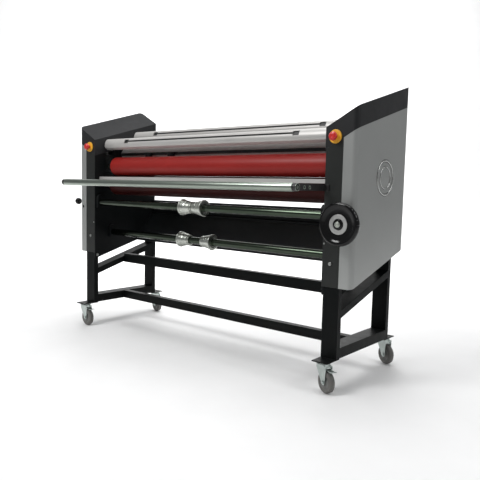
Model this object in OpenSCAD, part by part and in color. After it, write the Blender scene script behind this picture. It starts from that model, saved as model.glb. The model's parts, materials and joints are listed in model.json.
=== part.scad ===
/* [Machine] */
// Clear width between the two side plates
throat_w = 1652; // [1200:1:1900]
// Rise of every sloped edge, top and bottom, towards the back, in degrees
slope = 16.3; // [8:0.1:20]
// Distance from the stand's middle to the front face of the columns
head_front = 258; // [230:1:300]
// Distance from the stand's middle to the back face of the covers
head_back = 240; // [210:1:280]

/* [Stand] */
// Depth of the stand over its legs
stand_d = 510; // [430:1:600]
// Width of the leg tubes along the machine
leg_w = 80; // [60:1:100]
// Depth of the leg tubes
leg_d = 30; // [24:1:50]
// Wall of the leg and rail tubes
tube_wall = 2.5; // [2:0.1:4]
// Height of the bottom rails and of the lower stretcher
rail_h = 48; // [36:1:60]
// Upright height of the sloped rails
brace_h = 36; // [28:1:50]
// Height of the sloped rails' lower edge at the front legs
brace_z = 321; // [280:1:360]
// Depth of the two long stretchers
stretcher_d = 40; // [30:1:60]
// Thickness of the plates that the castors bolt to
foot_t = 5; // [4:0.5:8]
// Reach of those plates beyond the legs
foot_reach = 75; // [65:1:90]

/* [Castors] */
// Diameter of the castor wheels
wheel_d = 100; // [80:1:104]
// Width of the castor wheels
wheel_w = 28; // [22:1:32]
// Height from the floor to the underside of the stand
castor_h = 134; // [132:1:150]
// Offset of the wheel's axle behind the swivel axis
trail = 26; // [20:1:34]
// Heading of each wheel at rest: front left, front right, rear left, rear right
castor_turn = [-4, -24, -14, -26];

/* [Housings] */
// Thickness of the side plates
plate_t = 8; // [6:0.5:12]
// Width of the front columns, plate included
column_w = 86; // [70:1:110]
// Width of the outer covers
cover_w = 65; // [50:1:90]
// Height of the columns' feet and of the covers' front lower corner
column_z = 457; // [440:1:480]
// Height of the side plates' front lower corner
plate_z = 419; // [400:1:435]
// Height of the cap's top at its inner front corner
crown_z = 1155; // [1130:1:1180]
// Fall of the caps towards the machine's middle, in degrees
bevel = 28.8; // [20:0.1:32]
// Upright height of the caps
cap_h = 95; // [80:1:110]
// Sheet thickness of the columns, covers and caps
sheet_t = 3; // [2:0.5:4]
// Radius of the covers' outer upright corners
corner_r = 24; // [10:1:30]
// Outer radius of the round emblem on the covers
emblem_r = 81; // [60:1:90]

/* [Rollers] */
// Radius of the upper silicone roller
upper_r = 56; // [48:0.5:58]
// Radius of the lower silicone roller
lower_r = 59; // [52:0.5:61]
// Thickness of the silicone covering
silicone_t = 10; // [6:0.5:14]
// Gap left between the closed rollers
nip_gap = 0.4; // [0.2:0.1:1]
// Height of the nip line
nip_z = 939; // [930:1:950]
// Opening of the nip when fully raised
lift = 25; // [15:1:28]
// Diameter of the roller journals
journal_d = 30; // [24:1:34]

/* [Shafts] */
// Diameter of the two supply shafts
shaft_d = 40; // [32:1:44]
// Diameter of the front idler bar
bar_d = 37; // [30:1:42]
// Reach of the front bar's axis ahead of the columns
bar_reach = 225; // [160:1:260]
// Flange diameter of the core chucks
chuck_d = 88; // [80:1:96]
// Length of the core chucks
chuck_l = 80; // [70:1:100]
// Diameter of the handwheel
handwheel_d = 186; // [150:1:200]

/* [Guards and panels] */
// Thickness of the guard and table sheets
guard_t = 3; // [2:0.5:4]
// Half length of the cutter slots
slot_half = 615; // [400:1:700]
// Width of the cutter slots
slot_w = 10; // [6:0.5:12]

/* [Hidden] */

$fn = 64;
eps = 0.01;
big = 4000;
// Radial clearance of every running fit
running = 0.06;
// Clearance of holes that a part only passes through
passing = 1;

rise = tan(slope);
fall = tan(bevel);
throat = throat_w / 2;
lip_x = throat - sheet_t;
plate_x = throat + plate_t;
column_x = throat + column_w;
cover_x = column_x + cover_w;
leg_x = plate_x + leg_w / 2;
leg_y = stand_d / 2;
rail_l = stand_d - 2 * leg_d;
rail_z = castor_h + foot_t;

upper_z = nip_z + nip_gap / 2 + upper_r;
lower_z = nip_z - nip_gap / 2 - lower_r;
roller_y = -144;
roller_left = throat - 76;
roller_right = throat - 26;

upper_shaft_y = -225;
upper_shaft_z = 771;
lower_shaft_y = -130;
lower_shaft_z = 583;
bar_y = -head_front - bar_reach;
bar_z = 892;
wheel_x = column_x + cover_w / 2;
wheel_z = 741;
knob_x = cover_x + 66;
knob_l = 28;
screw_x = plate_x + 20;
cross_z = 1140;
foot_y = leg_y + foot_reach;
castor_y = leg_y + foot_reach / 2;

black = [0.07, 0.075, 0.08];
silver = [0.62, 0.63, 0.62];
steel = [0.7, 0.72, 0.7];
zinc = [0.6, 0.65, 0.62];

// ---- helpers ----

// Machine frame to the part's own frame: origin on the floor under the middle of the footprint
reach_right = wheel_x + handwheel_d / 2;
reach_left = knob_x + knob_l / 2;
reach_front = -bar_y + bar_d / 2;
mid_x = (reach_right - reach_left) / 2;
mid_y = (foot_y - reach_front) / 2;
module machine() {
  translate([-mid_x, -mid_y, 0]) children();
}

// Everything below the plane through z0 at x0, y0 that climbs by gx along X and gy along Y
module below(x0, y0, z0, gx, gy) {
  tilt = atan(sqrt(gx * gx + gy * gy));
  translate([x0, y0, z0])
    rotate(a = tilt, v = [gy, -gx, 0])
      translate([-big / 2, -big / 2, -big])
        cube(big);
}

// Bar along X from x1 to x2
module rod_x(x1, x2, y, z, d) {
  translate([x1, y, z]) rotate([0, 90, 0]) cylinder(d = d, h = x2 - x1);
}

// Bar along Y from y1 to y2
module rod_y(x, y1, y2, z, d) {
  translate([x, y1, z]) rotate([-90, 0, 0]) cylinder(d = d, h = y2 - y1);
}

// A piece on the right and its mirror image on the left
module both_sides() {
  children();
  mirror([1, 0, 0]) children();
}

// One side's piece, from the right-hand shape: s is 1 for right, -1 for left
module side(s) {
  if (s > 0) {
    children();
  } else {
    mirror([1, 0, 0]) children();
  }
}

// Prism along X of an outline in Y and Z
module prism_x(x1, x2) {
  translate([x1, 0, 0]) rotate([90, 0, 90]) linear_extrude(x2 - x1) children();
}

// Mitred sheet of thickness t to the right of an open line of points
function unit(v) = v / norm(v);
function normal_of(a, b) = let(u = unit(b - a)) [u[1], -u[0]];
function corner_shift(p, i) =
  let(n1 = normal_of(p[max(i - 1, 0)], p[max(i, 1)]),
      n2 = normal_of(p[min(i, len(p) - 2)], p[min(i + 1, len(p) - 1)]),
      m = unit(n1 + n2))
  m / (m * n1);
function sheet(p, t) = concat(p, [for (i = [len(p) - 1 : -1 : 0]) p[i] + t * corner_shift(p, i)]);

// Hexagon head or nut along Z
module hexagon(across, h) {
  cylinder(d = across / cos(30), h = h, $fn = 6);
}

// ---- stand ----

module leg_box(y1, y2, top, wall) {
  translate([plate_x + wall, y1 + wall, rail_z + (wall > 0 ? wall : 0)])
    cube([leg_w - 2 * wall, y2 - y1 - 2 * wall, top - rail_z]);
}

function brace_low(y) = brace_z + rise * (y + leg_y - leg_d);
function cover_foot(y) = column_z + rise * (y + head_front);
function plate_foot(y) = plate_z + rise * (y + head_front);
rear_leg_top = cover_foot(leg_y - leg_d) - 4;

module brace_box(wall, stretch) {
  y1 = -leg_y + leg_d - stretch;
  y2 = -y1;
  prism_x(plate_x + wall, plate_x + leg_w - wall)
    polygon([[y1, brace_low(y1) + wall], [y2, brace_low(y2) + wall],
      [y2, brace_low(y2) + brace_h - wall], [y1, brace_low(y1) + brace_h - wall]]);
}

module foot_plate() {
  translate([plate_x, leg_y - leg_d, castor_h]) cube([leg_w, leg_d + foot_reach, foot_t]);
}

module stand_side() {
  difference() {
    union() {
      leg_box(-leg_y, -leg_y + leg_d, column_z, 0);
      leg_box(leg_y - leg_d, leg_y, rear_leg_top, 0);
      translate([plate_x, -rail_l / 2 - 1, rail_z]) cube([leg_w, rail_l + 2, rail_h]);
      brace_box(0, 1);
      foot_plate();
      mirror([0, 1, 0]) foot_plate();
    }
    leg_box(-leg_y, -leg_y + leg_d, column_z, tube_wall);
    leg_box(leg_y - leg_d, leg_y, rear_leg_top, tube_wall);
    translate([plate_x + tube_wall, -rail_l / 2 - tube_wall - 1, rail_z + tube_wall])
      cube([leg_w - 2 * tube_wall, rail_l + 2 * tube_wall + 2, rail_h - 2 * tube_wall]);
    brace_box(tube_wall, tube_wall + 1);
  }
}
module stand_left() { color(black) side(-1) stand_side(); }
module stand_right() { color(black) side(1) stand_side(); }

module stretcher(z, h, y) {
  color(black) difference() {
    translate([-plate_x, y - stretcher_d / 2, z]) cube([2 * plate_x, stretcher_d, h]);
    translate([-plate_x - 1, y - stretcher_d / 2 + tube_wall, z + tube_wall])
      cube([2 * plate_x + 2, stretcher_d - 2 * tube_wall, h - 2 * tube_wall]);
  }
}
module lower_stretcher() { stretcher(rail_z, rail_h, 0); }
upper_stretcher_z = brace_low(0) - 10;
upper_stretcher_h = brace_h + 20;
module upper_stretcher() { stretcher(upper_stretcher_z, upper_stretcher_h, 0); }

bolt_d = 16;
rear_bolt_y = head_back - sheet_t - bolt_d / 2 - 1;
// Cap screws: two in each column front, two in each side plate where the legs stand behind it
module frame_bolts() {
  color(steel) both_sides() {
    rod_y(plate_x + 33, -head_front - 4, -head_front, 561, bolt_d);
    rod_y(plate_x, -head_front - 3, -head_front, 648, bolt_d / 2);
    for (p = [[-leg_y + leg_d / 2, column_z - 14], [rear_bolt_y, plate_foot(rear_bolt_y) + 18]]) {
      translate([throat, p[0], p[1]]) rotate([0, -90, 0]) cylinder(d = bolt_d, h = 5);
    }
  }
}

// ---- castors ----

axle_d = 8;
fork_gap = wheel_w + 4;
fork_t = 3;
head_h = 12;
head_gap = 0.2;
crown_fork = castor_h - head_h;
pedal_x = 34;
pedal_z = crown_fork - 12;
pedal_pin_d = 4;
corner = [[-1, -1], [1, -1], [-1, 1], [1, 1]];

module at_castor(i) {
  translate([corner[i][0] * leg_x, corner[i][1] * castor_y, 0]) rotate([0, 0, castor_turn[i]]) children();
}

module fork_leg() {
  rotate([90, 0, 0]) linear_extrude(fork_t)
    polygon([[-26, crown_fork], [pedal_x + 8, crown_fork], [pedal_x + 8, pedal_z - 7], [trail + 12, wheel_d / 2 - 4],
      [trail + 6, wheel_d / 2 - 12], [trail - 6, wheel_d / 2 - 12], [trail - 12, wheel_d / 2 - 4],
      [-26, crown_fork - 14]]);
}

module fork(i) {
  color(zinc) at_castor(i) {
    difference() {
      union() {
        translate([0, 0, crown_fork]) cylinder(d = 62, h = 5);
        translate([0, 0, crown_fork]) cylinder(d = 50, h = head_h - head_gap);
        translate([-26, -fork_gap / 2 - fork_t, crown_fork - fork_t])
          cube([56, fork_gap + 2 * fork_t, fork_t + 1]);
        translate([0, -fork_gap / 2, 0]) fork_leg();
        translate([0, fork_gap / 2 + fork_t, 0]) fork_leg();
      }
      translate([0, 0, -1]) cylinder(d = 10, h = castor_h - 4);
    }
    translate([pedal_x, 0, pedal_z]) rotate([90, 0, 0])
      translate([0, 0, -fork_gap / 2 - fork_t - 1]) cylinder(d = pedal_pin_d, h = fork_gap + 2 * fork_t + 2);
    translate([trail, 0, wheel_d / 2]) rotate([90, 0, 0]) {
      translate([0, 0, -fork_gap / 2 - fork_t - 5]) cylinder(d = axle_d, h = fork_gap + 2 * fork_t + 10);
      for (s = [-1, 1]) {
        translate([0, 0, s * (fork_gap / 2 + fork_t + 2.5) - 2.5]) hexagon(13, 5);
      }
    }
  }
}

module wheel(i) {
  color([0.35, 0.35, 0.33]) at_castor(i)
    translate([trail, 0, wheel_d / 2]) rotate([90, 0, 0])
      rotate_extrude()
        polygon([[axle_d / 2 + running, -wheel_w / 2 - 1], [12, -wheel_w / 2 - 1], [14, -wheel_w / 2 + 5],
          [wheel_d * 0.3, -wheel_w / 2 + 5], [wheel_d * 0.33, -wheel_w / 2], [wheel_d / 2 - 6, -wheel_w / 2],
          [wheel_d / 2 - 1.5, -wheel_w / 2 + 4], [wheel_d / 2, -wheel_w / 2 + 9],
          [wheel_d / 2, wheel_w / 2 - 9], [wheel_d / 2 - 1.5, wheel_w / 2 - 4], [wheel_d / 2 - 6, wheel_w / 2],
          [wheel_d * 0.33, wheel_w / 2], [wheel_d * 0.3, wheel_w / 2 - 5], [14, wheel_w / 2 - 5],
          [12, wheel_w / 2 + 1], [axle_d / 2 + running, wheel_w / 2 + 1]]);
}

// Brake pedal: barrel on its pin and a bent tread
module pedal(i) {
  color([0.25, 0.28, 0.27]) at_castor(i) difference() {
    union() {
      translate([pedal_x, fork_gap / 2 - 0.5, pedal_z]) rotate([90, 0, 0]) cylinder(d = 9, h = fork_gap - 1);
      translate([0, -12, 0]) rotate([90, 0, 0]) mirror([0, 0, 1]) linear_extrude(24)
        polygon(sheet([[pedal_x, pedal_z + 3], [pedal_x + 16, pedal_z - 3], [pedal_x + 34, pedal_z - 5],
          [pedal_x + 48, pedal_z - 1]], 3));
    }
    translate([pedal_x, fork_gap / 2, pedal_z]) rotate([90, 0, 0])
      cylinder(d = pedal_pin_d + 2 * running, h = fork_gap);
  }
}

module castor_fork_fl() { fork(0); }
module castor_fork_fr() { fork(1); }
module castor_fork_rl() { fork(2); }
module castor_fork_rr() { fork(3); }
module castor_wheel_fl() { wheel(0); }
module castor_wheel_fr() { wheel(1); }
module castor_wheel_rl() { wheel(2); }
module castor_wheel_rr() { wheel(3); }
module brake_pedal_fl() { pedal(0); }
module brake_pedal_fr() { pedal(1); }

// ---- side housings ----

function crown(y) = crown_z + rise * (y + head_front);
block_w = 60;
slot_z1 = upper_z - 38;
block_h = 110;

// Right side plate with the bearing slot and the shaft holes
module plate_side(s) {
  side(s) difference() {
    prism_x(throat, plate_x)
      polygon([[-head_front + sheet_t, plate_foot(-head_front)], [head_back - sheet_t, plate_foot(head_back)],
        [head_back - sheet_t, crown(head_back) - 12], [-head_front + sheet_t, crown(-head_front) - 12]]);
    translate([throat - 1, roller_y - block_w / 2 - 0.5, slot_z1])
      cube([plate_t + 2, block_w + 1, block_h + lift + 6]);
    rod_x(throat - 1, plate_x + 1, roller_y, lower_z, journal_d + 2 * passing);
    rod_x(throat - 1, plate_x + 1, roller_y, cross_z, cross_d + 2 * passing);
    rod_x(throat - 1, plate_x + 1, upper_shaft_y, upper_shaft_z, spigot_d + 2 * passing);
    rod_x(throat - 1, plate_x + 1, lower_shaft_y, lower_shaft_z, spigot_d + 2 * passing);
  }
}
module side_plate_left() { color(black) plate_side(-1); }
module side_plate_right() { color(black) plate_side(1); }

// Space under the caps' lower face
module below_cap(drop) {
  below(throat, -head_front, crown_z - cap_h - drop, fall, rise);
}

return_d = 24;
// Front column: face sheet with an outer return
module column_side(s) {
  side(s) intersection() {
    union() {
      translate([throat, -head_front, column_z]) cube([column_w, sheet_t, big]);
      translate([column_x - sheet_t, -head_front, column_z]) cube([sheet_t, return_d, big]);
    }
    below_cap(0);
  }
}
module column_left() { color([0.12, 0.13, 0.125]) column_side(-1); }
module column_right() { color([0.12, 0.13, 0.125]) column_side(1); }

// Plan outline of a housing from x1 outwards, inset by t
module plan(x1, t) {
  r = corner_r - t;
  x2 = cover_x - t;
  y1 = -head_front + t;
  y2 = head_back - t;
  translate([x1, y1]) square([x2 - r - x1, y2 - y1]);
  translate([x1, y1 + r]) square([x2 - x1, y2 - y1 - 2 * r]);
  for (y = [y1 + r, y2 - r]) {
    translate([x2 - r, y]) circle(r = r);
  }
}

emblem_y = 15;
emblem_z = 943;
// Outer cover: front face, side and back in one folded sheet, with a plain raised ring
module cover_side(s) {
  side(s) {
    difference() {
      intersection() {
        linear_extrude(2 * crown_z) difference() {
          plan(plate_x, 0);
          plan(plate_x - 1, sheet_t);
          translate([plate_x - 1, -head_front - 1]) square([column_w - plate_t + 1, sheet_t + 2]);
        }
        below_cap(0.3);
        prism_x(0, 2 * cover_x)
          polygon([[-big / 2, cover_foot(-big / 2)], [big / 2, cover_foot(big / 2)],
            [big / 2, big], [-big / 2, big]]);
      }
      rod_y(wheel_x, -head_front - 1, -head_front + sheet_t + 1, wheel_z, wheel_shaft_d + 2 * passing);
      if (s < 0) {
        rod_x(cover_x - sheet_t - 1, cover_x + 1, upper_shaft_y, upper_shaft_z, knob_stem_d + 2 * passing);
      }
      if (s > 0) {
        translate([inlet_x - inlet_w / 2, head_back - sheet_t - 1, inlet_z - inlet_h / 2])
          cube([inlet_w, sheet_t + 2, inlet_h]);
      }
    }
    translate([cover_x - eps, emblem_y, emblem_z]) rotate([0, 90, 0]) difference() {
      cylinder(r = emblem_r, h = 1.5, $fn = 96);
      translate([0, 0, -1]) cylinder(r = emblem_r - 7, h = 4, $fn = 96);
    }
  }
}
module side_cover_left() { color(silver) cover_side(-1); }
module side_cover_right() { color(silver) cover_side(1); }

// Cap: hollow lid between two tilted planes, open below
module cap_side(s) {
  side(s) difference() {
    intersection() {
      linear_extrude(2 * crown_z) plan(lip_x, 0);
      below(throat, -head_front, crown_z, fall, rise);
    }
    below_cap(0);
    intersection() {
      linear_extrude(2 * crown_z) plan(throat, sheet_t);
      below(throat, -head_front, crown_z - sheet_t / cos(bevel), fall, rise);
    }
    rod_y(estop_x, -head_front - 1, -head_front + sheet_t + 1, estop_z, estop_neck + 2 * running);
    rod_x(lip_x - 1, throat + 1, roller_y, cross_z, cross_d + 2 * passing);
  }
}
module top_cap_left() { color([0.14, 0.14, 0.155]) cap_side(-1); }
module top_cap_right() { color([0.14, 0.14, 0.155]) cap_side(1); }

// ---- emergency stops ----

estop_x = throat + 47;
estop_z = 1112;
estop_neck = 30;
estop_stem = 16;
estop_travel = 5;
module estop_bases() {
  color([0.85, 0.65, 0.15]) both_sides() difference() {
    union() {
      rod_y(estop_x, -head_front - 6, -head_front, estop_z, 60);
      rod_y(estop_x, -head_front - 1, -head_front + 40, estop_z, estop_neck);
      rod_y(estop_x, -head_front + sheet_t, -head_front + 12, estop_z, 38);
    }
    rod_y(estop_x, -head_front - 7, -head_front + 41, estop_z, estop_stem + 2 * running);
  }
}
module estop_button(s) {
  color([0.7, 0.05, 0.05]) side(s) {
    rod_y(estop_x, -head_front - 30, -head_front + 30, estop_z, estop_stem);
    translate([estop_x, -head_front - 12, estop_z]) rotate([90, 0, 0])
      rotate_extrude()
        polygon([[0, 0], [12, 0], [13, 6], [19, 9], [20, 14], [18, 19], [13, 22], [0, 23]]);
  }
}
module estop_button_left() { estop_button(-1); }
module estop_button_right() { estop_button(1); }

// ---- panels, table and guards ----

// Folded black panel: upright band at the back, then sloping down to the front
panel_y = head_back - 10;
panel_foot_y = 72;
module belly_panel() {
  color(black) prism_x(-throat + 0.5, throat - 0.5)
    polygon(sheet([[panel_foot_y, plate_foot(panel_foot_y) + 4], [panel_y - 14, 690], [panel_y - 14, 700],
      [panel_y - 2, 704], [panel_y - 2, 784], [panel_y - 14, 784]], -guard_t));
}

table_y = -head_front + 34;
table_z = 930;
module feed_table() {
  color([0.75, 0.76, 0.76]) {
    prism_x(-throat + 0.5, throat - 0.5)
      polygon(sheet([[roller_y - 42, table_z], [table_y, table_z], [table_y, table_z - 19],
        [table_y + 12, table_z - 19]], -guard_t));
  }
}

// Guard outline, from the lower lip round the nose to the back lip, nose at the origin
guard_line = [[24, -24], [5, -12], [0, 0], [3, 16], [10, 32], [20, 41], [40, 44], [158, 58], [158, 34]];
guard_y = -190;
guard_z = 1121;
guard_pitch = 232;
guard_gap = 8;
tab_gap = 0.2;
module guard(y, z) {
  color([0.78, 0.78, 0.76]) difference() {
    union() {
      prism_x(-throat + guard_gap, throat - guard_gap)
        translate([y, z]) polygon(sheet(guard_line, guard_t));
      both_sides() prism_x(throat - guard_gap - 2, lip_x - tab_gap)
        translate([y, z]) polygon([[60, 20], [120, 28], [120, 51], [60, 44]]);
    }
    translate([0, y + 8, z + 22]) rotate([-30, 0, 0]) {
      cube([2 * slot_half, 30, slot_w], center = true);
      for (s = [-1, 1]) {
        translate([s * slot_half, 0, 0]) cube([36, 30, 24], center = true);
      }
    }
  }
}
module front_guard() { guard(guard_y, guard_z); }
module rear_guard() { guard(guard_y + guard_pitch, guard_z + guard_pitch * rise - 4); }

// Slitter rail with a groove along its front face, and the round tie bar at the back
rail_y = -52;
rail_foot_z = 1046;
groove_z = 12;
groove_h = 8;
groove_d = 6;
tie_y = 205;
tie_z = 1000;
tie_d = 30;
module tie_bars() {
  color([0.6, 0.61, 0.6]) {
    prism_x(-throat, throat) translate([rail_y, rail_foot_z])
      polygon([[0, 0], [0, groove_z], [groove_d, groove_z], [groove_d, groove_z + groove_h],
        [0, groove_z + groove_h], [0, 39], [18, 66], [28, 66], [28, 0]]);
    rod_x(-throat, throat, tie_y, tie_z, tie_d);
  }
}

// Slitter head: body before the rail, tongue in its groove and a thin blade arm
slitter_x = [-548, -352];
slitter_w = 28;
slitter_play = 0.5;
blade_z = 975;
module slitter(x) {
  color(black) {
    translate([x - slitter_w / 2, rail_y - 28, rail_foot_z]) cube([slitter_w, 28 - slitter_play, 36]);
    translate([x - slitter_w / 2, rail_y - 1, rail_foot_z + groove_z + slitter_play])
      cube([slitter_w, groove_d + 1 - slitter_play, groove_h - 2 * slitter_play]);
    translate([x - 3, rail_y - 26, blade_z]) cube([6, 12, rail_foot_z + 1 - blade_z]);
  }
}
module slitter_left() { slitter(slitter_x[0]); }
module slitter_right() { slitter(slitter_x[1]); }

// ---- front bar ----

arm_t = 18;
arm_h = 28;
// Inner faces of the left and the right arm
arm_x = [throat - 32, throat - 8];
arm_foot_x = throat + 24;
boss_d = 34;
pin_d = 14;
pin_end = 1;
module front_bar() {
  color(steel) {
    difference() {
      union() {
        rod_x(-arm_x[0] + 1, arm_x[1] - 1, bar_y, bar_z, bar_d);
        rod_x(-arm_x[0] - arm_t - pin_end, arm_x[1] + arm_t + pin_end, bar_y, bar_z, pin_d);
      }
      rod_x(-arm_x[0] + 12, arm_x[1] - 12, bar_y, bar_z, bar_d - 6);
      rod_x(-arm_x[0] - arm_t - 2, arm_x[1] + arm_t + 2, bar_y, bar_z, 6);
    }
  }
}
module arm(x) {
  difference() {
    union() {
      translate([x, bar_y, bar_z - arm_h / 2]) cube([arm_t, bar_reach, arm_h]);
      rod_x(x, x + arm_t, bar_y, bar_z, boss_d);
      translate([x, -head_front - 6, bar_z - arm_h / 2]) cube([arm_foot_x - x, 6, arm_h]);
    }
    rod_x(x - 1, x + arm_t + 1, bar_y, bar_z, pin_d + 2 * running);
  }
}
module front_arms() {
  color(black) {
    mirror([1, 0, 0]) arm(arm_x[0]);
    arm(arm_x[1]);
  }
}

// ---- rollers ----

module roller_core(z, r, right_end, left_end) {
  core_r = r - silicone_t;
  difference() {
    union() {
      rod_x(-roller_left, roller_right, roller_y, z, 2 * core_r);
      rod_x(left_end, right_end, roller_y, z, journal_d);
    }
    rod_x(-roller_left + 14, roller_right - 14, roller_y, z, 2 * core_r - 16);
    rod_x(left_end - 1, right_end + 1, roller_y, z, 10);
  }
}
module roller_cover(z, r) {
  color([0.5, 0.1, 0.09]) difference() {
    rod_x(-roller_left, roller_right, roller_y, z, 2 * r);
    rod_x(-roller_left - 1, roller_right + 1, roller_y, z, 2 * (r - silicone_t));
  }
}
block_t = 38;
block_x = throat + 2;
module upper_roller_core() { color(steel) roller_core(upper_z, upper_r, block_x + block_t + 2, -block_x - block_t - 2); }
module upper_roller_cover() { roller_cover(upper_z, upper_r); }
sprocket_x = plate_x + 56;
sprocket_t = 6;
module lower_roller_core() {
  color(steel) {
    roller_core(lower_z, lower_r, plate_x + 30, -sprocket_x - sprocket_t);
    difference() {
      rod_x(-sprocket_x - sprocket_t, -sprocket_x, roller_y, lower_z, 2 * roller_sprocket_r);
      rod_x(-sprocket_x - sprocket_t - 1, -sprocket_x + 1, roller_y, lower_z, journal_d - 1);
    }
  }
}
module lower_roller_cover() { roller_cover(lower_z, lower_r); }

// Sliding blocks: journal bore, and above it the bore of the lifting screw
screw_d = 14;
screw_z = upper_z + 48;
module upper_bearing_blocks() {
  color([0.55, 0.56, 0.55]) both_sides() difference() {
    translate([block_x, roller_y - block_w / 2, upper_z - 35]) cube([block_t, block_w, block_h]);
    rod_x(block_x - 1, block_x + block_t + 1, roller_y, upper_z, journal_d + 2 * running);
    translate([screw_x, roller_y, upper_z + 20]) cylinder(d = screw_d + 2 * running, h = block_h);
  }
}
module lower_bearing_blocks() {
  color([0.55, 0.56, 0.55]) both_sides() difference() {
    translate([plate_x, roller_y - 40, lower_z - 36]) cube([20, 80, 72]);
    rod_x(plate_x - 1, plate_x + 21, roller_y, lower_z, journal_d + 2 * running);
  }
}

// ---- nip lift drive ----

cross_d = 12;
gear_r = 24;
screw_gear_r = 16;
gear_teeth = 20;
gear_gap = 0.4;
tooth_cut = 2;
// Bevel wheel along +Z: its pitch cone's tip lies at the origin and its back at height tip
module bevel_wheel(tip, bore) {
  face = tip * 0.36;
  difference() {
    translate([0, 0, tip - face]) cylinder(r1 = tip - face - gear_gap, r2 = tip - gear_gap, h = face);
    translate([0, 0, tip - face - 1]) cylinder(d = bore, h = face + 2);
    for (i = [0 : gear_teeth - 1]) {
      rotate([0, 0, i * 360 / gear_teeth])
        translate([tip - gear_gap, 0, tip]) rotate([0, 45, 0])
          cube([tooth_cut, tooth_cut, 3 * face], center = true);
    }
  }
}

// Lifting screw under its bevel wheel
module lift_screw(s) {
  color(steel) side(s) {
    translate([screw_x, roller_y, screw_z]) cylinder(d = screw_d, h = cross_z - screw_gear_r + 2 - screw_z);
    translate([screw_x, roller_y, cross_z]) rotate([180, 0, 0]) bevel_wheel(screw_gear_r, screw_d - 1);
  }
}
module lift_screw_left() { lift_screw(-1); }
module lift_screw_right() { lift_screw(1); }

// Cross shaft over the screws, with a bevel wheel for each screw and one for the riser
module cross_shaft() {
  color(steel) {
    rod_x(-screw_x - screw_gear_r + 1, wheel_x - gear_r + 2, roller_y, cross_z, cross_d);
    both_sides() translate([screw_x, roller_y, cross_z]) rotate([0, 90, 0])
      bevel_wheel(screw_gear_r, cross_d - 1);
    translate([wheel_x, roller_y, cross_z]) rotate([0, -90, 0]) bevel_wheel(gear_r, cross_d - 1);
  }
}

riser_d = 14;
module riser_shaft() {
  color(steel) {
    translate([wheel_x, roller_y, wheel_z + gear_r - 2]) cylinder(d = riser_d, h = cross_z - wheel_z - 2 * gear_r + 4);
    translate([wheel_x, roller_y, cross_z]) rotate([180, 0, 0]) bevel_wheel(gear_r, riser_d - 1);
    translate([wheel_x, roller_y, wheel_z]) bevel_wheel(gear_r, riser_d - 1);
  }
}

wheel_shaft_d = 16;
module handwheel_shaft() {
  color(steel) {
    rod_y(wheel_x, rim_y - 12, roller_y - gear_r + 2, wheel_z, wheel_shaft_d);
    translate([wheel_x, roller_y, wheel_z]) rotate([90, 0, 0]) bevel_wheel(gear_r, wheel_shaft_d - 1);
  }
}

// Dished handwheel: thick rim, web and hub, with a finger knob in the rim
rim_y = -head_front - 70;
module handwheel() {
  r = handwheel_d / 2;
  bore = wheel_shaft_d / 2 + running;
  color([0.05, 0.05, 0.055])
    translate([wheel_x, rim_y, wheel_z]) rotate([90, 0, 0])
      rotate_extrude($fn = 96)
        polygon([[bore, -28], [20, -28], [22, -2], [r - 26, -4], [r - 20, -14], [r - 8, -16],
          [r - 1.5, -12], [r, -4], [r, 4], [r - 3, 11], [r - 9, 14], [r - 17, 12], [r - 24, 6],
          [26, 6], [24, 12], [15, 14], [13, 19], [bore, 19]]);
}

// ---- supply shafts ----

spigot_d = 20;
saddle_t = 22;
shaft_half = throat - saddle_t - 2;
module supply_shaft(y, z) {
  color(steel) difference() {
    union() {
      rod_x(-shaft_half, shaft_half, y, z, shaft_d);
      rod_x(-plate_x - 4, plate_x + 4, y, z, spigot_d);
    }
    rod_x(-shaft_half + 20, shaft_half - 20, y, z, shaft_d - 7);
    rod_x(-plate_x - 5, plate_x + 5, y, z, 8);
  }
}
module upper_supply_shaft() { supply_shaft(upper_shaft_y, upper_shaft_z); }
module lower_supply_shaft() { supply_shaft(lower_shaft_y, lower_shaft_z); }

// Bearing saddles on the side plates, and the brake's housing on the left
module saddle(y, z) {
  difference() {
    union() {
      translate([throat - saddle_t, y - 24, z - 30]) cube([saddle_t, 48, 60]);
      rod_x(throat - saddle_t, throat, y, z + 24, 48);
    }
    rod_x(throat - saddle_t - 1, throat + 1, y, z, spigot_d + 2 * running);
  }
}
module shaft_saddles() {
  color(black) {
    both_sides() {
      saddle(upper_shaft_y, upper_shaft_z);
      saddle(lower_shaft_y, lower_shaft_z);
    }
    difference() {
      rod_x(-plate_x - 50, -plate_x, upper_shaft_y, upper_shaft_z, 50);
      rod_x(-plate_x - 44, -plate_x + 1, upper_shaft_y, upper_shaft_z, 40);
      rod_x(-plate_x - 51, -plate_x, upper_shaft_y, upper_shaft_z, knob_stem_d + 2 * running);
    }
  }
}

knob_stem_d = 10;
module brake_knob() {
  color([0.04, 0.04, 0.04]) {
    rod_x(-knob_x, -plate_x - 20, upper_shaft_y, upper_shaft_z, knob_stem_d);
    translate([-knob_x - knob_l / 2, upper_shaft_y, upper_shaft_z]) rotate([0, 90, 0])
      rotate_extrude()
        polygon([[0, 0], [12, 0], [18, 3], [21, 9], [21, 19], [18, 25], [12, 28], [0, 28]]);
  }
}

// Core chuck: flange, cone and lock screw collar, open end towards +X
chuck_wall = 8;
module chuck(x, y, z, s) {
  r = shaft_d / 2 + running;
  color([0.8, 0.82, 0.8]) translate([x, y, z]) rotate([0, 90, 0]) mirror([0, 0, s < 0 ? 1 : 0])
    rotate_extrude()
      polygon([[r, 0], [chuck_d / 2 - 3, 0], [chuck_d / 2, 2], [chuck_d / 2, 8], [chuck_d / 2 - 3, 11],
        [39, 11], [39, 24], [31, chuck_l - 14], [31, chuck_l - 8], [27, chuck_l - 8], [27, chuck_l], [r, chuck_l]]);
}
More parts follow.
